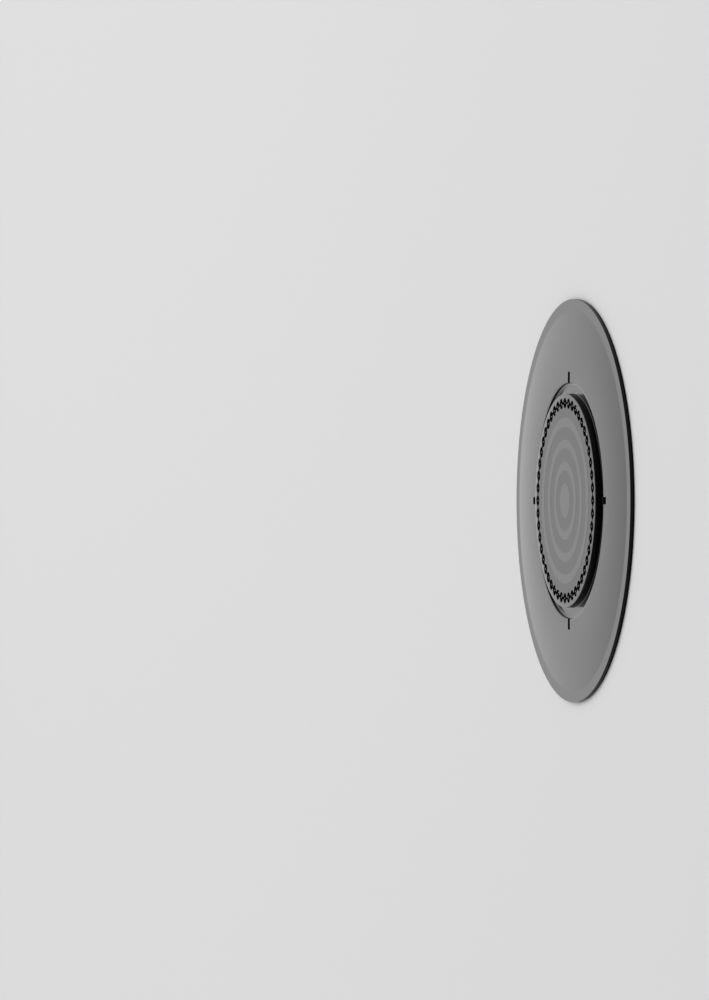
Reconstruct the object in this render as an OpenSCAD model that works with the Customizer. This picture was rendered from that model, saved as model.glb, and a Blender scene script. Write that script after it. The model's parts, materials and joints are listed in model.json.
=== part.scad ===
// Adhesive magnetic phone patch: a thin moulded disc with a magnet behind its boss,
// stuck to the back of a phone by an adhesive pad.
// Millimetres. The adhesive face lies on z = 0, and +Z is the axis of the disc.

/* [Plate] */
// Diameter of the plate
plate_d = 61; // [56:0.5:70]
// Thickness of the plate at its flat rim band
rim_t = 0.45; // [0.35:0.05:0.8]
// Width of the flat rim band
band_w = 1.7; // [1:0.1:3]
// Height that the dome gains from the rim band to the groove
dome_rise = 0.45; // [0.2:0.05:0.7]
// Radius of the dome's arc
dome_r = 140; // [120:10:400]
// Rounding of the plate's and the boss's upper edges
edge_round = 0.05; // [0.02:0.01:0.12]

/* [Groove] */
// Width of the groove round the boss
groove_w = 1.7; // [1.2:0.1:2.4]
// Thickness of the plate left under the groove
groove_web = 0.35; // [0.25:0.05:0.45]
// Rounding at the foot of the groove's outer wall
groove_round = 0.4; // [0.1:0.05:0.5]
// Rounding at the foot of the boss
foot_round = 0.1; // [0.05:0.05:0.3]

/* [Boss] */
// Diameter of the boss
boss_d = 32.3; // [31:0.1:36]
// Thickness of the boss, from the plate's underside to its top
boss_t = 1.53; // [1.4:0.05:2.5]
// Radius of the plain disc at the middle of the boss
eye_r = 2.62; // [1.5:0.01:4]
// Width of each shallow ring on the boss
ring_w = 1.975; // [0.8:0.005:2.4]
// Width of the land between two rings
ring_gap = 1.33; // [0.8:0.01:2.4]
// Depth of the shallow rings
ring_depth = 0.01; // [0.01:0.01:0.08]

/* [Index seats] */
// Number of index seats round the boss
seat_count = 48; // [12:12:48]
// Diameter of one index seat
seat_d = 1.6; // [1:0.02:1.7]
// Distance from the boss's side to the seats' centres
seat_inset = 1.4; // [1.1:0.01:2]
// Depth of the seats and of the channel that links them
seat_depth = 0.45; // [0.15:0.01:0.5]
// Width of the channel that links the seats
link_w = 0.42; // [0.1:0.02:0.6]
// Diameter of the pip that stands in the middle of each seat, level with the boss
pip_d = 0.28; // [0.2:0.02:0.5]

/* [Marks] */
// Number of marks round the groove
mark_count = 4; // [2:1:12]
// Width of one mark
mark_w = 1.1; // [0.5:0.1:3]
// Length of one mark, outwards from the groove
mark_len = 1.65; // [0.5:0.05:4]
// Depth of one mark below the dome's inner edge
mark_depth = 0.31; // [0.1:0.01:0.35]

/* [Magnet] */
// Diameter of the magnet
magnet_d = 26; // [18:0.5:27]
// Thickness of the magnet
magnet_t = 1; // [0.4:0.05:1.05]
// Gap all round the magnet in its pocket, filled by glue
magnet_gap = 0.05; // [0.02:0.01:0.1]

/* [Adhesive pad] */
// Thickness of the adhesive pad
pad_t = 0.25; // [0.1:0.05:0.5]
// How far the pad's edge stands in from the plate's edge
pad_inset = 0.1; // [0:0.05:0.6]

/* [Hidden] */

$fn = 120;
// Sides of the full circle that the dome's long arc is taken from
dome_fn = 720;
// Overrun of a cut past the surface that it opens
cut = 1;
// Least flat kept beside a rounded corner
corner_flat = 0.05;

plate_r = plate_d / 2;
boss_r = boss_d / 2;
groove_r = boss_r + groove_w;
dome_out_r = plate_r - band_w;

// Levels above the surface that the pad is stuck to
plate_z = pad_t;
band_z = plate_z + rim_t;
dome_in_z = band_z + dome_rise;
groove_z = plate_z + groove_web;
boss_z = plate_z + boss_t;
seat_z = boss_z - seat_depth;
ring_z = boss_z - ring_depth;

// Centre of the arc that meets the groove's edge and the rim band, in the plane of the section
dome_run = dome_out_r - groove_r;
dome_chord = norm([dome_run, dome_rise]);
dome_back = sqrt(pow(dome_r, 2) - pow(dome_chord / 2, 2));
dome_mid = [(dome_out_r + groove_r) / 2, (band_z + dome_in_z) / 2];
dome_centre = dome_mid - dome_back * [dome_rise, dome_run] / dome_chord;

groove_fillet = min(groove_round, dome_in_z - groove_z - corner_flat);

seat_r = boss_r - seat_inset;
ring_pitch = ring_w + ring_gap;
// The rings fill the boss as far as the seats' inner tips
ring_limit_r = seat_r - seat_d / 2;
ring_count = ceil((ring_limit_r - eye_r) / ring_pitch);

pocket_r = magnet_d / 2 + magnet_gap;
pocket_z = plate_z + magnet_t + magnet_gap;

plate_color = [0.11, 0.11, 0.115];
magnet_color = [0.72, 0.72, 0.73];
pad_color = [0.04, 0.04, 0.04];

// Upright slab of the section between two radii and two levels
module slab(r_in, r_out, z_low, z_high) {
    translate([r_in, z_low])
        square([r_out - r_in, z_high - z_low]);
}

// Slab whose upper outer corner is rounded
module rounded_slab(r_in, r_out, z_low, z_high) {
    slab(r_in, r_out, z_low, z_high - edge_round);
    slab(r_in, r_out - edge_round, z_low, z_high);
    translate([r_out - edge_round, z_high - edge_round])
        circle(r = edge_round);
}

// Half section of the dome between the groove and the rim band
module dome_section() {
    intersection() {
        slab(groove_r, dome_out_r, plate_z, dome_in_z);
        translate(dome_centre)
            circle(r = dome_r, $fn = dome_fn);
    }
}

// Half section of a rounded corner of the groove, between its floor and a wall at radius wall_r.
// side is 1 at the boss's wall and -1 at the outer wall.
module groove_corner(wall_r, fillet, side) {
    centre_r = wall_r + side * fillet;
    difference() {
        slab(min(wall_r, centre_r), max(wall_r, centre_r), plate_z, groove_z + fillet);
        translate([centre_r, groove_z + fillet])
            circle(r = fillet);
    }
}

// Half section of the whole plate, before its seats, marks and pocket are cut
module plate_section() {
    rounded_slab(0, boss_r, plate_z, boss_z);
    slab(0, groove_r, plate_z, groove_z);
    groove_corner(boss_r, foot_round, 1);
    groove_corner(groove_r, groove_fillet, -1);
    dome_section();
    rounded_slab(groove_r, plate_r, plate_z, band_z);
}

// Shallow rings on the boss. A ring that reaches the seats runs on into the channel between them.
module rings() {
    rotate_extrude() {
        for (i = [0 : ring_count - 1]) {
            inner_r = eye_r + i * ring_pitch;
            outer_r = inner_r + ring_w;
            slab(inner_r, outer_r > ring_limit_r ? seat_r : outer_r, ring_z, boss_z + cut);
        }
    }
}

// Puts its children at the centre of every seat
module at_seats() {
    for (i = [0 : seat_count - 1]) {
        rotate([0, 0, i * 360 / seat_count])
            translate([seat_r, 0, 0])
                children();
    }
}

// Round seats for the mating pins, linked by a narrow channel
module index_seats() {
    at_seats()
        translate([0, 0, seat_z])
            cylinder(h = seat_depth + cut, d = seat_d);
    rotate_extrude()
        slab(seat_r - link_w / 2, seat_r + link_w / 2, seat_z, boss_z + cut);
}

// Pips that stand in the seats. Their feet reach halfway down the plate below the seats' floors.
module pips() {
    foot_z = (plate_z + seat_z) / 2;
    at_seats()
        translate([0, 0, foot_z])
            cylinder(h = boss_z - foot_z, d = pip_d);
}

// Marks let into the dome, open towards the groove
module marks() {
    for (i = [0 : mark_count - 1]) {
        rotate([0, 0, i * 360 / mark_count])
            translate([groove_r - groove_w / 2, -mark_w / 2, dome_in_z - mark_depth])
                cube([groove_w / 2 + mark_len, mark_w, mark_depth + cut]);
    }
}

// Pocket for the magnet, open at the plate's underside
module magnet_pocket() {
    translate([0, 0, plate_z - cut])
        cylinder(h = pocket_z - plate_z + cut, r = pocket_r);
}

module patch_plate() {
    color(plate_color) {
        difference() {
            rotate_extrude()
                plate_section();
            rings();
            index_seats();
            marks();
            magnet_pocket();
        }
        pips();
    }
}

module magnet_disc() {
    color(magnet_color)
        translate([0, 0, plate_z])
            cylinder(h = magnet_t, d = magnet_d);
}

module adhesive_pad() {
    color(pad_color)
        cylinder(h = pad_t, r = plate_r - pad_inset);
}

patch_plate();
magnet_disc();
adhesive_pad();
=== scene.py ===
import json
import math

import bpy
from mathutils import Matrix, Vector


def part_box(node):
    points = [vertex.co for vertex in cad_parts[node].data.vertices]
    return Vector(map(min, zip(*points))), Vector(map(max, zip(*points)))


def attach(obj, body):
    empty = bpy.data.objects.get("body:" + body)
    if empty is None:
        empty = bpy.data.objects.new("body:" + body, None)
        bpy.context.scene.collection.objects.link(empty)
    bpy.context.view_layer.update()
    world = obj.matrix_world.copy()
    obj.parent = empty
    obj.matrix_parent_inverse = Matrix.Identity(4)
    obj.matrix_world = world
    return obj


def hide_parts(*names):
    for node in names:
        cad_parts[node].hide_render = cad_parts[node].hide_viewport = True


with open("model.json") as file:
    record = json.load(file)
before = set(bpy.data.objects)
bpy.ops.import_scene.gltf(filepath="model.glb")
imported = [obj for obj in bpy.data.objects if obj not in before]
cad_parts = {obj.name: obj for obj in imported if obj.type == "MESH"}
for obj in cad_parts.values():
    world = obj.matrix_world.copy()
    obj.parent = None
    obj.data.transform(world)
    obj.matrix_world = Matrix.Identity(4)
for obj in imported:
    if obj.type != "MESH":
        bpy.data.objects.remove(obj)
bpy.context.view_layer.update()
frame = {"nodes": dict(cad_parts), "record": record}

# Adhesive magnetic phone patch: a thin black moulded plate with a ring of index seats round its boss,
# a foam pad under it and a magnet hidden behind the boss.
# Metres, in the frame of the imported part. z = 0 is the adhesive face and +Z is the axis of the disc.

MM = 0.001
TAU = 2 * math.pi

# Sizes that the frame gives
mounts = {mount["name"]: mount for mount in frame["record"]["mounts"]}
plate_low, plate_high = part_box("patch_plate")
pad_low, pad_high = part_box("adhesive_pad")
magnet_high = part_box("magnet_disc")[1]
PLATE_R = plate_high.x
PLATE_Z = plate_low.z
BOSS_Z = plate_high.z
BAND_Z = mounts["rim_band"]["pos_m"][2]
BOSS_R = mounts["boss_side"]["dims"]["r_mm"] * MM
SEAT_CIRCLE_R = mounts["index_seats"]["dims"]["pcd_mm"] / 2 * MM
SEAT_R = mounts["index_seats"]["dims"]["hole_r_mm"] * MM
SEAT_COUNT = mounts["index_seats"]["dims"]["count"]
PAD_R = pad_high.x
PAD_Z = pad_high.z
MAGNET_R = magnet_high.x
MAGNET_Z = magnet_high.z

# Sizes of the plate's own forms
BAND_W = 1.7 * MM
DOME_RISE = 0.45 * MM
DOME_ARC_R = 140 * MM
DOME_FOOT = 0.25 * MM
GROOVE_W = 1.7 * MM
GROOVE_WEB = 0.35 * MM
GROOVE_ROUND = 0.4 * MM
BOSS_FOOT_ROUND = 0.1 * MM
EDGE_ROUND = 0.05 * MM
GROOVE_LIP_ROUND = 0.04 * MM
EYE_R = 2.62 * MM
RING_W = 1.975 * MM
RING_GAP = 1.33 * MM
RING_DEPTH = 0.01 * MM
RING_COUNT = 4
SEAT_DEPTH = 0.45 * MM
SEAT_ROUND = 0.06 * MM
SEAT_BREAK = 0.03 * MM
LINK_W = 0.42 * MM
PIP_R = 0.14 * MM
PIP_ROUND = 0.03 * MM
MARK_COUNT = 4
MARK_W = 1.1 * MM
MARK_LEN = 1.65 * MM
MARK_DEPTH = 0.31 * MM
MARK_CORNER = 0.12 * MM
MAGNET_GAP = 0.05 * MM
PAD_EDGE_SWELL = 0.02 * MM

# How finely curved forms are divided
SECTORS = 384
SEAT_SECTORS = 32
EDGE_STEPS = 4
FILLET_STEPS = 8
DOME_STEPS = 24
FOOT_STEPS = 10
OVERRUN = 0.3 * MM
WELD = 0.0005 * MM
SHARP_ANGLE = math.radians(32)
# A face whose normal rises less than this is a wall, and gets the walls' finish with its painted shade
WALL_RISE = 0.6

GROOVE_R = BOSS_R + GROOVE_W
GROOVE_Z = PLATE_Z + GROOVE_WEB
DOME_OUT_R = PLATE_R - BAND_W
DOME_IN_Z = BAND_Z + DOME_RISE
RING_Z = BOSS_Z - RING_DEPTH
SEAT_Z = BOSS_Z - SEAT_DEPTH


# Camera, floor and light

# Angle between the patch's axis and the camera's line of sight
VIEW_TILT = math.radians(75.49)
# Where the middle of the rim stands: right of the picture's centre, along the line of sight and below
VIEW_ASIDE = 32.84 * MM
VIEW_AWAY = 1007.6 * MM
VIEW_DOWN = 0.10 * MM
LENS = 239.9
SENSOR_W = 36
CLIP_NEAR = 0.01
CLIP_FAR = 20

FLOOR_HALF = 3.0
FLOOR_COLOR = (0.72, 0.72, 0.72)
FLOOR_ROUGHNESS = 0.6
FLOOR_SHINE = 0.2

LAMP_PLACE = Vector((-0.35, 0.45, 1.1))
LAMP_SIZE = 1.8
LAMP_POWER = 9.0

# Strength of the room as it lights matt faces, and as it is seen directly
ROOM_FILL = 0.6
ROOM_SEEN = 1.0
# Strength of the room in reflections, at the horizon and from the height given here upwards
MIRROR_HORIZON = 1.25
MIRROR_HIGH = 0.93
MIRROR_HEIGHT = 0.6
# Share of it that is left towards +X, from the direction given here onwards
MIRROR_ASIDE_SHARE = 0.12
MIRROR_ASIDE = 0.9


def make_camera():
    """The photograph's camera: the patch's face looks to the left, and +Y is up."""
    right = Vector((math.cos(VIEW_TILT), 0, -math.sin(VIEW_TILT)))
    ahead = Vector((-math.sin(VIEW_TILT), 0, -math.cos(VIEW_TILT)))
    up = Vector((0, 1, 0))
    data = bpy.data.cameras.new("camera")
    data.sensor_width = SENSOR_W
    data.lens = LENS
    data.clip_start = CLIP_NEAR
    data.clip_end = CLIP_FAR
    camera = bpy.data.objects.new("camera", data)
    bpy.context.scene.collection.objects.link(camera)
    place = Vector((0, 0, BAND_Z)) - VIEW_ASIDE * right - VIEW_AWAY * ahead + VIEW_DOWN * up
    turn = Matrix((right, up, -ahead)).transposed()
    camera.matrix_world = Matrix.Translation(place) @ turn.to_4x4()
    bpy.context.scene.camera = camera


def make_floor():
    """The pale surface that the patch is stuck to."""
    mesh = bpy.data.meshes.new("floor")
    half = FLOOR_HALF
    corners = [(-half, -half, 0), (half, -half, 0), (half, half, 0), (-half, half, 0)]
    mesh.from_pydata(corners, [], [(0, 1, 2, 3)])
    floor = bpy.data.objects.new("floor", mesh)
    bpy.context.scene.collection.objects.link(floor)
    material = bpy.data.materials.new("pale_floor")
    material.use_nodes = True
    shader = material.node_tree.nodes["Principled BSDF"]
    shader.inputs["Base Color"].default_value = (*FLOOR_COLOR, 1)
    shader.inputs["Roughness"].default_value = FLOOR_ROUGHNESS
    shader.inputs["Specular IOR Level"].default_value = FLOOR_SHINE
    mesh.materials.append(material)


def make_light():
    """One soft lamp above, and a pale room. Its reflection is brightest near the horizon."""
    data = bpy.data.lights.new("soft_lamp", "AREA")
    data.shape = "DISK"
    data.size = LAMP_SIZE
    data.energy = LAMP_POWER
    lamp = bpy.data.objects.new("soft_lamp", data)
    turn = LAMP_PLACE.to_track_quat("Z", "Y")
    lamp.matrix_world = Matrix.Translation(LAMP_PLACE) @ turn.to_matrix().to_4x4()
    bpy.context.scene.collection.objects.link(lamp)

    world = bpy.data.worlds.new("pale_room")
    world.use_nodes = True
    tree = world.node_tree
    tree.nodes.clear()
    path = add(tree, "ShaderNodeLightPath")
    direction = add(tree, "ShaderNodeTexCoord").outputs["Generated"]
    along = add(tree, "ShaderNodeSeparateXYZ", {"Vector": direction})
    height = add(
        tree,
        "ShaderNodeMapRange",
        {
            "Value": along.outputs["Z"],
            "From Min": 0.0,
            "From Max": MIRROR_HEIGHT,
            "To Min": MIRROR_HORIZON,
            "To Max": MIRROR_HIGH,
        },
    )
    side = add(
        tree,
        "ShaderNodeMapRange",
        {
            "Value": along.outputs["X"],
            "From Min": 0.0,
            "From Max": MIRROR_ASIDE,
            "To Min": 1.0,
            "To Max": MIRROR_ASIDE_SHARE,
        },
    )
    shine = add(tree, "ShaderNodeMath", {0: height.outputs[0], 1: side.outputs[0]}, operation="MULTIPLY")
    white = (1, 1, 1, 1)
    fill = add(tree, "ShaderNodeBackground", {"Color": white, "Strength": ROOM_FILL})
    seen = add(tree, "ShaderNodeBackground", {"Color": white, "Strength": ROOM_SEEN})
    mirrored = add(tree, "ShaderNodeBackground", {"Color": white, "Strength": shine.outputs[0]})
    lit = add(
        tree,
        "ShaderNodeMixShader",
        {0: path.outputs["Is Glossy Ray"], 1: fill.outputs[0], 2: mirrored.outputs[0]},
    )
    clear = add(
        tree,
        "ShaderNodeMath",
        {0: path.outputs["Is Camera Ray"], 1: path.outputs["Is Transmission Ray"]},
        operation="MAXIMUM",
    )
    mix = add(tree, "ShaderNodeMixShader", {0: clear.outputs[0], 1: lit.outputs[0], 2: seen.outputs[0]})
    add(tree, "ShaderNodeOutputWorld", {"Surface": mix.outputs[0]})
    bpy.context.scene.world = world


# Helpers for node trees

def add(tree, kind, links=None, **settings):
    """A new node. links maps each input to the socket that feeds it, or to its plain value."""
    made = tree.nodes.new(kind)
    for name, value in settings.items():
        setattr(made, name, value)
    for name, source in (links or {}).items():
        if isinstance(source, bpy.types.NodeSocket):
            tree.links.new(source, made.inputs[name])
        else:
            made.inputs[name].default_value = source
    return made


def geometry_tree(name, inputs):
    """A geometry tree that has only its sockets, and its group input node."""
    tree = bpy.data.node_groups.new(name, "GeometryNodeTree")
    tree.interface.new_socket("Geometry", in_out="INPUT", socket_type="NodeSocketGeometry")
    for label, kind in inputs:
        tree.interface.new_socket(label, in_out="INPUT", socket_type="NodeSocket" + kind)
    tree.interface.new_socket("Geometry", in_out="OUTPUT", socket_type="NodeSocketGeometry")
    return tree, add(tree, "NodeGroupInput")


def close_tree(tree, geometry, material):
    """Ends a tree in Realize Instances and Set Material."""
    real = add(tree, "GeometryNodeRealizeInstances", {"Geometry": geometry})
    coated = add(tree, "GeometryNodeSetMaterial", {"Geometry": real.outputs[0], "Material": material})
    add(tree, "NodeGroupOutput", {"Geometry": coated.outputs[0]})


def turning_tree():
    """Turns the section that the object's own points draw, in the XZ plane, into a closed solid round Z.

    The points run anticlockwise: outwards at the bottom and inwards at the top.
    """
    inputs = [("Sectors", "Int"), ("Weld distance", "Float"), ("Material", "Material")]
    tree, given = geometry_tree("turned_piece", inputs)
    section = given.outputs["Geometry"]
    sectors = given.outputs["Sectors"]
    points = add(tree, "GeometryNodeAttributeDomainSize", {"Geometry": section}).outputs["Point Count"]
    columns = add(tree, "ShaderNodeMath", {0: sectors, 1: 1.0}, operation="ADD").outputs[0]
    grid = add(tree, "GeometryNodeMeshGrid", {"Vertices X": columns, "Vertices Y": points})
    index = add(tree, "GeometryNodeInputIndex").outputs[0]
    row = add(tree, "ShaderNodeMath", {0: index, 1: points}, operation="MODULO").outputs[0]
    share = add(tree, "ShaderNodeMath", {0: index, 1: points}, operation="DIVIDE").outputs[0]
    column = add(tree, "ShaderNodeMath", {0: share}, operation="FLOOR").outputs[0]
    turn = add(tree, "ShaderNodeMath", {0: column, 1: sectors}, operation="DIVIDE").outputs[0]
    angle = add(tree, "ShaderNodeMath", {0: turn, 1: TAU}, operation="MULTIPLY").outputs[0]
    position = add(tree, "GeometryNodeInputPosition").outputs[0]
    sample = add(tree, "GeometryNodeSampleIndex", data_type="FLOAT_VECTOR", domain="POINT")
    tree.links.new(section, sample.inputs["Geometry"])
    tree.links.new(position, sample.inputs["Value"])
    tree.links.new(row, sample.inputs["Index"])
    turned = add(
        tree,
        "ShaderNodeVectorRotate",
        {"Vector": sample.outputs[0], "Angle": angle},
        rotation_type="Z_AXIS",
    )
    placed = add(
        tree,
        "GeometryNodeSetPosition",
        {"Geometry": grid.outputs["Mesh"], "Position": turned.outputs[0]},
    )
    welded = add(
        tree,
        "GeometryNodeMergeByDistance",
        {"Geometry": placed.outputs[0], "Distance": given.outputs["Weld distance"]},
    )
    close_tree(tree, welded.outputs[0], given.outputs["Material"])
    return tree


def ring_tree(name, operation):
    """Cuts the object with copies of a tool, or joins them to it, evenly spaced on a circle round Z."""
    inputs = [("Tool", "Object"), ("Count", "Int"), ("Circle radius", "Float"), ("Material", "Material")]
    tree, given = geometry_tree(name, inputs)
    tool = add(tree, "GeometryNodeObjectInfo", {"Object": given.outputs["Tool"]})
    index = add(tree, "GeometryNodeInputIndex").outputs[0]
    count = given.outputs["Count"]
    share = add(tree, "ShaderNodeMath", {0: index, 1: count}, operation="DIVIDE").outputs[0]
    angle = add(tree, "ShaderNodeMath", {0: share, 1: TAU}, operation="MULTIPLY").outputs[0]
    start = add(tree, "ShaderNodeCombineXYZ", {"X": given.outputs["Circle radius"]})
    place = add(
        tree,
        "ShaderNodeVectorRotate",
        {"Vector": start.outputs[0], "Angle": angle},
        rotation_type="Z_AXIS",
    )
    points = add(
        tree,
        "GeometryNodePoints",
        {"Count": count, "Position": place.outputs[0]},
    )
    turn = add(tree, "FunctionNodeAxisAngleToRotation", {"Axis": (0, 0, 1), "Angle": angle})
    copies = add(
        tree,
        "GeometryNodeInstanceOnPoints",
        {"Points": points.outputs[0], "Instance": tool.outputs["Geometry"], "Rotation": turn.outputs[0]},
    )
    joined = add(tree, "GeometryNodeMeshBoolean", operation=operation, solver="MANIFOLD")
    # A union takes the object and its tools by the same input
    first = "Mesh 1" if operation == "DIFFERENCE" else "Mesh 2"
    tree.links.new(given.outputs["Geometry"], joined.inputs[first])
    tree.links.new(copies.outputs[0], joined.inputs["Mesh 2"])
    close_tree(tree, joined.outputs["Mesh"], given.outputs["Material"])
    return tree


def use_tree(piece, tree, **values):
    """Puts a tree on a piece as a modifier and sets its inputs, each by its socket's identifier."""
    modifier = piece.modifiers.new(tree.name, "NODES")
    modifier.node_group = tree
    sockets = {item.name: item.identifier for item in tree.interface.items_tree if item.in_out == "INPUT"}
    for name, value in values.items():
        modifier[sockets[name.replace("_", " ").capitalize()]] = value


def finished(piece):
    """Makes the piece a plain mesh, with its modifiers applied and removed."""
    graph = bpy.context.evaluated_depsgraph_get()
    mesh = bpy.data.meshes.new_from_object(piece.evaluated_get(graph), depsgraph=graph)
    piece.modifiers.clear()
    piece.data = mesh
    mesh.name = piece.name


# Outlines

def arc(centre_r, centre_z, radius, start, end, steps):
    """Points along an arc of a section, from one angle in degrees to another."""
    turns = [math.radians(start + (end - start) * i / steps) for i in range(steps + 1)]
    return [(centre_r + radius * math.cos(t), centre_z + radius * math.sin(t)) for t in turns]


def section_object(name, outline):
    """An object whose points are a section's outline, in the XZ plane."""
    mesh = bpy.data.meshes.new(name)
    mesh.from_pydata([(r, 0, z) for r, z in outline], [(i, i + 1) for i in range(len(outline) - 1)], [])
    piece = bpy.data.objects.new(name, mesh)
    bpy.context.scene.collection.objects.link(piece)
    return piece


def dome_height(r):
    """Height of the dome above the rim band: an arc of a large radius that runs out softly at its foot."""
    run = DOME_OUT_R - GROOVE_R
    crest_r = DOME_OUT_R - (DOME_ARC_R * DOME_RISE / run + run / 2)
    foot_r = DOME_OUT_R - DOME_FOOT
    foot_slope = (foot_r - crest_r) / DOME_ARC_R
    if r < foot_r:
        return foot_slope * DOME_FOOT + ((foot_r - crest_r) ** 2 - (r - crest_r) ** 2) / (2 * DOME_ARC_R)
    past = min(r - DOME_OUT_R, DOME_FOOT)
    return foot_slope * (DOME_FOOT - past) ** 2 / (4 * DOME_FOOT)


def ring_steps():
    """The boss's face from its middle outwards. The last of its shallow rings runs into the seats."""
    outline = [(0, BOSS_Z)]
    half = RING_DEPTH / 2
    for i in range(RING_COUNT):
        inner_r = EYE_R + i * (RING_W + RING_GAP)
        outer_r = inner_r + RING_W if i < RING_COUNT - 1 else SEAT_CIRCLE_R
        outline += [(inner_r - half, BOSS_Z), (inner_r + half, RING_Z)]
        outline += [(outer_r - half, RING_Z), (outer_r + half, BOSS_Z)]
    return outline


def plate_outline():
    """Half section of the plate, from the middle of the boss round its rim to the magnet's pocket."""
    edge = EDGE_ROUND
    fillet = GROOVE_ROUND
    foot = BOSS_FOOT_ROUND
    lip = GROOVE_LIP_ROUND
    outline = ring_steps()
    outline += arc(BOSS_R - edge, BOSS_Z - edge, edge, 90, 0, EDGE_STEPS)
    outline += arc(BOSS_R + foot, GROOVE_Z + foot, foot, 180, 270, FILLET_STEPS)
    outline += arc(GROOVE_R - fillet, GROOVE_Z + fillet, fillet, 270, 360, FILLET_STEPS)
    outline += arc(GROOVE_R + lip, DOME_IN_Z - lip, lip, 180, 90, EDGE_STEPS)
    dome_start = GROOVE_R + lip
    dome_end = DOME_OUT_R - DOME_FOOT
    for i in range(1, DOME_STEPS + 1):
        r = dome_start + (dome_end - dome_start) * i / DOME_STEPS
        outline.append((r, BAND_Z + dome_height(r)))
    for i in range(1, FOOT_STEPS + 1):
        r = dome_end + 2 * DOME_FOOT * i / FOOT_STEPS
        outline.append((r, BAND_Z + dome_height(r)))
    outline += arc(PLATE_R - edge, BAND_Z - edge, edge, 90, 0, EDGE_STEPS)
    outline += [(PLATE_R, PLATE_Z), (MAGNET_R + MAGNET_GAP, PLATE_Z)]
    outline += [(MAGNET_R + MAGNET_GAP, MAGNET_Z + MAGNET_GAP), (0, MAGNET_Z + MAGNET_GAP)]
    outline.reverse()
    return outline


def seat_outline():
    """Half section of the cutter for one seat: rounded at its floor, with its mouth's edge broken."""
    outline = [(0, SEAT_Z)]
    outline += arc(SEAT_R - SEAT_ROUND, SEAT_Z + SEAT_ROUND, SEAT_ROUND, 270, 360, EDGE_STEPS)
    outline += [(SEAT_R, BOSS_Z - SEAT_BREAK), (SEAT_R + SEAT_BREAK + OVERRUN, BOSS_Z + OVERRUN)]
    return outline + [(0, BOSS_Z + OVERRUN)]


def pip_outline():
    """Half section of one pip, from its foot below the seat's floor to its rounded tip."""
    outline = [(0, SEAT_Z - OVERRUN), (PIP_R, SEAT_Z - OVERRUN)]
    outline += arc(PIP_R - PIP_ROUND, BOSS_Z - PIP_ROUND, PIP_ROUND, 0, 90, EDGE_STEPS)
    return outline + [(0, BOSS_Z)]


def link_outline():
    """Closed section of the cutter for the channel that links the seats."""
    inner = SEAT_CIRCLE_R - LINK_W / 2
    outer = SEAT_CIRCLE_R + LINK_W / 2
    flare = SEAT_BREAK + OVERRUN
    outline = arc(inner + SEAT_ROUND, SEAT_Z + SEAT_ROUND, SEAT_ROUND, 180, 270, EDGE_STEPS)
    outline += arc(outer - SEAT_ROUND, SEAT_Z + SEAT_ROUND, SEAT_ROUND, 270, 360, EDGE_STEPS)
    outline += [(outer, BOSS_Z - SEAT_BREAK), (outer + flare, BOSS_Z + OVERRUN)]
    outline += [(inner - flare, BOSS_Z + OVERRUN), (inner, BOSS_Z - SEAT_BREAK)]
    return outline + [outline[0]]


def pad_outline():
    """Half section of the foam pad. Its cut edge swells a little between its two faces."""
    half = (PAD_Z - pad_low.z) / 2
    outline = [(0, pad_low.z)]
    for i in range(FILLET_STEPS + 1):
        t = 2 * i / FILLET_STEPS - 1
        outline.append((PAD_R - PAD_EDGE_SWELL * t * t, pad_low.z + half + half * t))
    return outline + [(0, PAD_Z)]


def rounded_loop(x_low, x_high, half_width, corner, z):
    """Points of a rectangle with round corners, counter-clockwise, at one level."""
    loop = []
    middles = [
        (x_high - corner, half_width - corner, 0),
        (x_low + corner, half_width - corner, 90),
        (x_low + corner, corner - half_width, 180),
        (x_high - corner, corner - half_width, 270),
    ]
    for x, y, start in middles:
        loop += [(px, py, z) for px, py in arc(x, y, corner, start, start + 90, EDGE_STEPS)]
    return loop


def mark_cutter():
    """Cutter for one mark, from the middle of the groove outwards, set on a circle of no radius."""
    x_low = GROOVE_R - GROOVE_W / 2
    x_high = GROOVE_R + MARK_LEN
    low = DOME_IN_Z - MARK_DEPTH
    high = BAND_Z + dome_height(x_high)
    loops = [
        rounded_loop(x_low, x_high, MARK_W / 2, MARK_CORNER, low),
        rounded_loop(x_low, x_high, MARK_W / 2, MARK_CORNER, high + OVERRUN),
    ]
    count = len(loops[0])
    faces = [tuple(reversed(range(count))), tuple(range(count, 2 * count))]
    faces += [(i, (i + 1) % count, count + (i + 1) % count, count + i) for i in range(count)]
    mesh = bpy.data.meshes.new("mark_cutter")
    mesh.from_pydata(loops[0] + loops[1], [], faces)
    cutter = bpy.data.objects.new("mark_cutter", mesh)
    bpy.context.scene.collection.objects.link(cutter)
    return cutter


# Materials

BLACK = (0.0015, 0.0015, 0.0015)
NICKEL = (0.66, 0.63, 0.58)
# Finishes of the plate: the roughness that its grain varies between, its refractive index and its shine
SATIN = {"rough_low": 0.1, "rough_high": 0.15, "index": 1.5, "shine": 0.5}
FROSTED = {"rough_low": 0.2, "rough_high": 0.26, "index": 1.395, "shine": 0.5}
# The walls' copy is rougher, which is a real finish. Its shine is also cut so that every wall renders
# darker, which is painted shade on the walls
DULL_SHADED_WALLS = {"rough_low": 0.3, "rough_high": 0.4, "index": 1.5, "shine": 0.15}
GRAIN_SCALE = 6500.0
GRAIN_DEPTH = 0.004 * MM
FOAM_ROUGHNESS = 0.9
FOAM_SHINE = 0.1
CELL_SCALE = 9000.0
CELL_DEPTH = 0.01 * MM
NICKEL_ROUGHNESS = 0.3
# Places of the frosted finish and of the walls' finish, which is dull and carries painted shade, among the
# plate's materials
RING_SLOT = 1
SHADED_WALL_SLOT = 2


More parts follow.
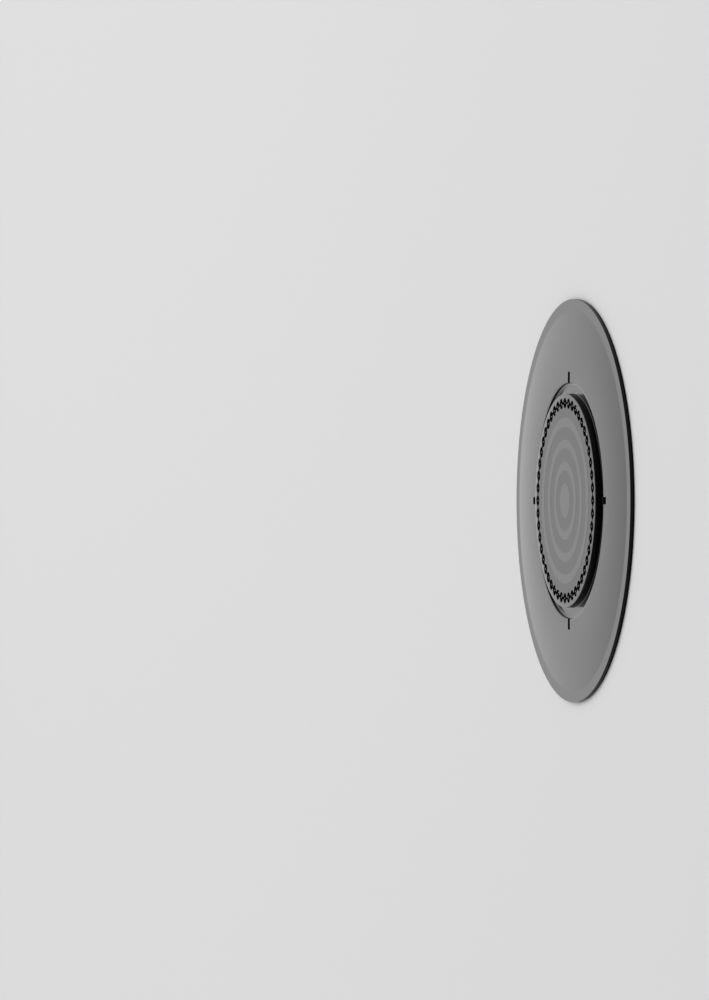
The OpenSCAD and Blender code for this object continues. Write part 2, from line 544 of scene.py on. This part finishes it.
def plain_material(name, color, roughness):
    """A material with its shader's own values, and its tree, shader and object coordinates."""
    material = bpy.data.materials.new(name)
    material.use_nodes = True
    tree = material.node_tree
    shader = tree.nodes["Principled BSDF"]
    shader.inputs["Base Color"].default_value = (*color, 1)
    shader.inputs["Roughness"].default_value = roughness
    place = add(tree, "ShaderNodeTexCoord").outputs["Object"]
    return material, tree, shader, place


def moulded_plastic(name, rough_low, rough_high, index, shine):
    """Black plastic from a finely eroded mould: a close grain in its gloss and its surface."""
    material, tree, shader, place = plain_material(name, BLACK, rough_low)
    shader.inputs["IOR"].default_value = index
    shader.inputs["Specular IOR Level"].default_value = shine
    grain = add(
        tree,
        "ShaderNodeTexNoise",
        {"Vector": place, "Scale": GRAIN_SCALE, "Detail": 2.0, "Roughness": 0.6},
    )
    gloss = add(
        tree,
        "ShaderNodeMapRange",
        {"Value": grain.outputs[0], "To Min": rough_low, "To Max": rough_high},
    )
    tree.links.new(gloss.outputs[0], shader.inputs["Roughness"])
    bump = add(
        tree,
        "ShaderNodeBump",
        {"Height": grain.outputs[0], "Strength": 0.15, "Distance": GRAIN_DEPTH},
    )
    tree.links.new(bump.outputs[0], shader.inputs["Normal"])
    return material


def foam_tape():
    """Black foam tape: matt, with the small open cells of its cut edge."""
    material, tree, shader, place = plain_material("foam_tape", BLACK, FOAM_ROUGHNESS)
    cells = add(tree, "ShaderNodeTexVoronoi", {"Vector": place, "Scale": CELL_SCALE})
    bump = add(
        tree,
        "ShaderNodeBump",
        {"Height": cells.outputs["Distance"], "Strength": 0.3, "Distance": CELL_DEPTH},
    )
    tree.links.new(bump.outputs[0], shader.inputs["Normal"])
    shader.inputs["Specular IOR Level"].default_value = FOAM_SHINE
    return material


def nickel_plating():
    """Satin nickel with the faint marks of tumbling."""
    material, tree, shader, place = plain_material("nickel_plating", NICKEL, NICKEL_ROUGHNESS)
    shader.inputs["Metallic"].default_value = 1
    marks = add(tree, "ShaderNodeTexNoise", {"Vector": place, "Scale": 1500.0, "Detail": 4.0})
    gloss = add(tree, "ShaderNodeMapRange", {"Value": marks.outputs[0], "To Min": 0.22, "To Max": 0.42})
    tree.links.new(gloss.outputs[0], shader.inputs["Roughness"])
    return material


# Pieces

def smooth(piece):
    """Smooth shading between the sharp edges, with the flats kept flat."""
    piece.data.shade_smooth()
    piece.data.set_sharp_from_angle(angle=SHARP_ANGLE)
    weighted = piece.modifiers.new("flat_faces", "WEIGHTED_NORMAL")
    weighted.keep_sharp = True
    finished(piece)


def remove(*pieces):
    for piece in pieces:
        bpy.data.objects.remove(piece)


def make_plate(turning, cutting, joining):
    """The moulded plate: turned, cut by its channel, seats and marks, and given the pips of its seats."""
    satin = moulded_plastic("satin_black_plastic", **SATIN)
    frosted = moulded_plastic("frosted_black_rings", **FROSTED)
    # The walls' copy of the plastic: rougher, with its shine cut as painted shade
    dull_shaded_walls = moulded_plastic("dull_black_walls", **DULL_SHADED_WALLS)
    link = section_object("link_cutter", link_outline())
    seat = section_object("seat_cutter", seat_outline())
    pip = section_object("pip", pip_outline())
    mark = mark_cutter()
    use_tree(link, turning, sectors=SECTORS, weld_distance=WELD, material=satin)
    use_tree(seat, turning, sectors=SEAT_SECTORS, weld_distance=WELD, material=satin)
    use_tree(pip, turning, sectors=SEAT_SECTORS, weld_distance=WELD, material=satin)
    finished(link)
    finished(seat)
    finished(pip)
    plate = section_object("moulded_plate", plate_outline())
    use_tree(plate, turning, sectors=SECTORS, weld_distance=WELD, material=satin)
    use_tree(plate, cutting, tool=link, count=1, circle_radius=0.0, material=satin)
    use_tree(plate, cutting, tool=seat, count=SEAT_COUNT, circle_radius=SEAT_CIRCLE_R, material=satin)
    use_tree(plate, cutting, tool=mark, count=MARK_COUNT, circle_radius=0.0, material=satin)
    use_tree(plate, joining, tool=pip, count=SEAT_COUNT, circle_radius=SEAT_CIRCLE_R, material=satin)
    finished(plate)
    remove(link, seat, pip, mark)
    plate.data.materials.append(frosted)
    plate.data.materials.append(dull_shaded_walls)
    for face in plate.data.polygons:
        out = math.hypot(face.center.x, face.center.y)
        # Every wall takes the copy with the weaker shine: painted shade on the walls
        if abs(face.normal.z) < WALL_RISE:
            face.material_index = SHADED_WALL_SLOT
        elif abs(face.center.z - RING_Z) < WELD and out < SEAT_CIRCLE_R:
            face.material_index = RING_SLOT
    smooth(plate)
    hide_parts("patch_plate")
    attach(plate, "root")


def make_pad(turning):
    """The foam pad under the plate."""
    pad = section_object("foam_pad", pad_outline())
    use_tree(pad, turning, sectors=SECTORS, weld_distance=WELD, material=foam_tape())
    finished(pad)
    smooth(pad)
    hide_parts("adhesive_pad")
    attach(pad, "root")


def finish_magnet():
    """The hidden magnet keeps its own form and gets its plating."""
    magnet = frame["nodes"]["magnet_disc"]
    magnet.data.materials.clear()
    magnet.data.materials.append(nickel_plating())


make_camera()
make_floor()
make_light()
turning = turning_tree()
cutting = ring_tree("ring_of_cuts", "DIFFERENCE")
joining = ring_tree("ring_of_pips", "UNION")
make_plate(turning, cutting, joining)
make_pad(turning)
finish_magnet()
bpy.context.scene.view_settings.view_transform = "Standard"
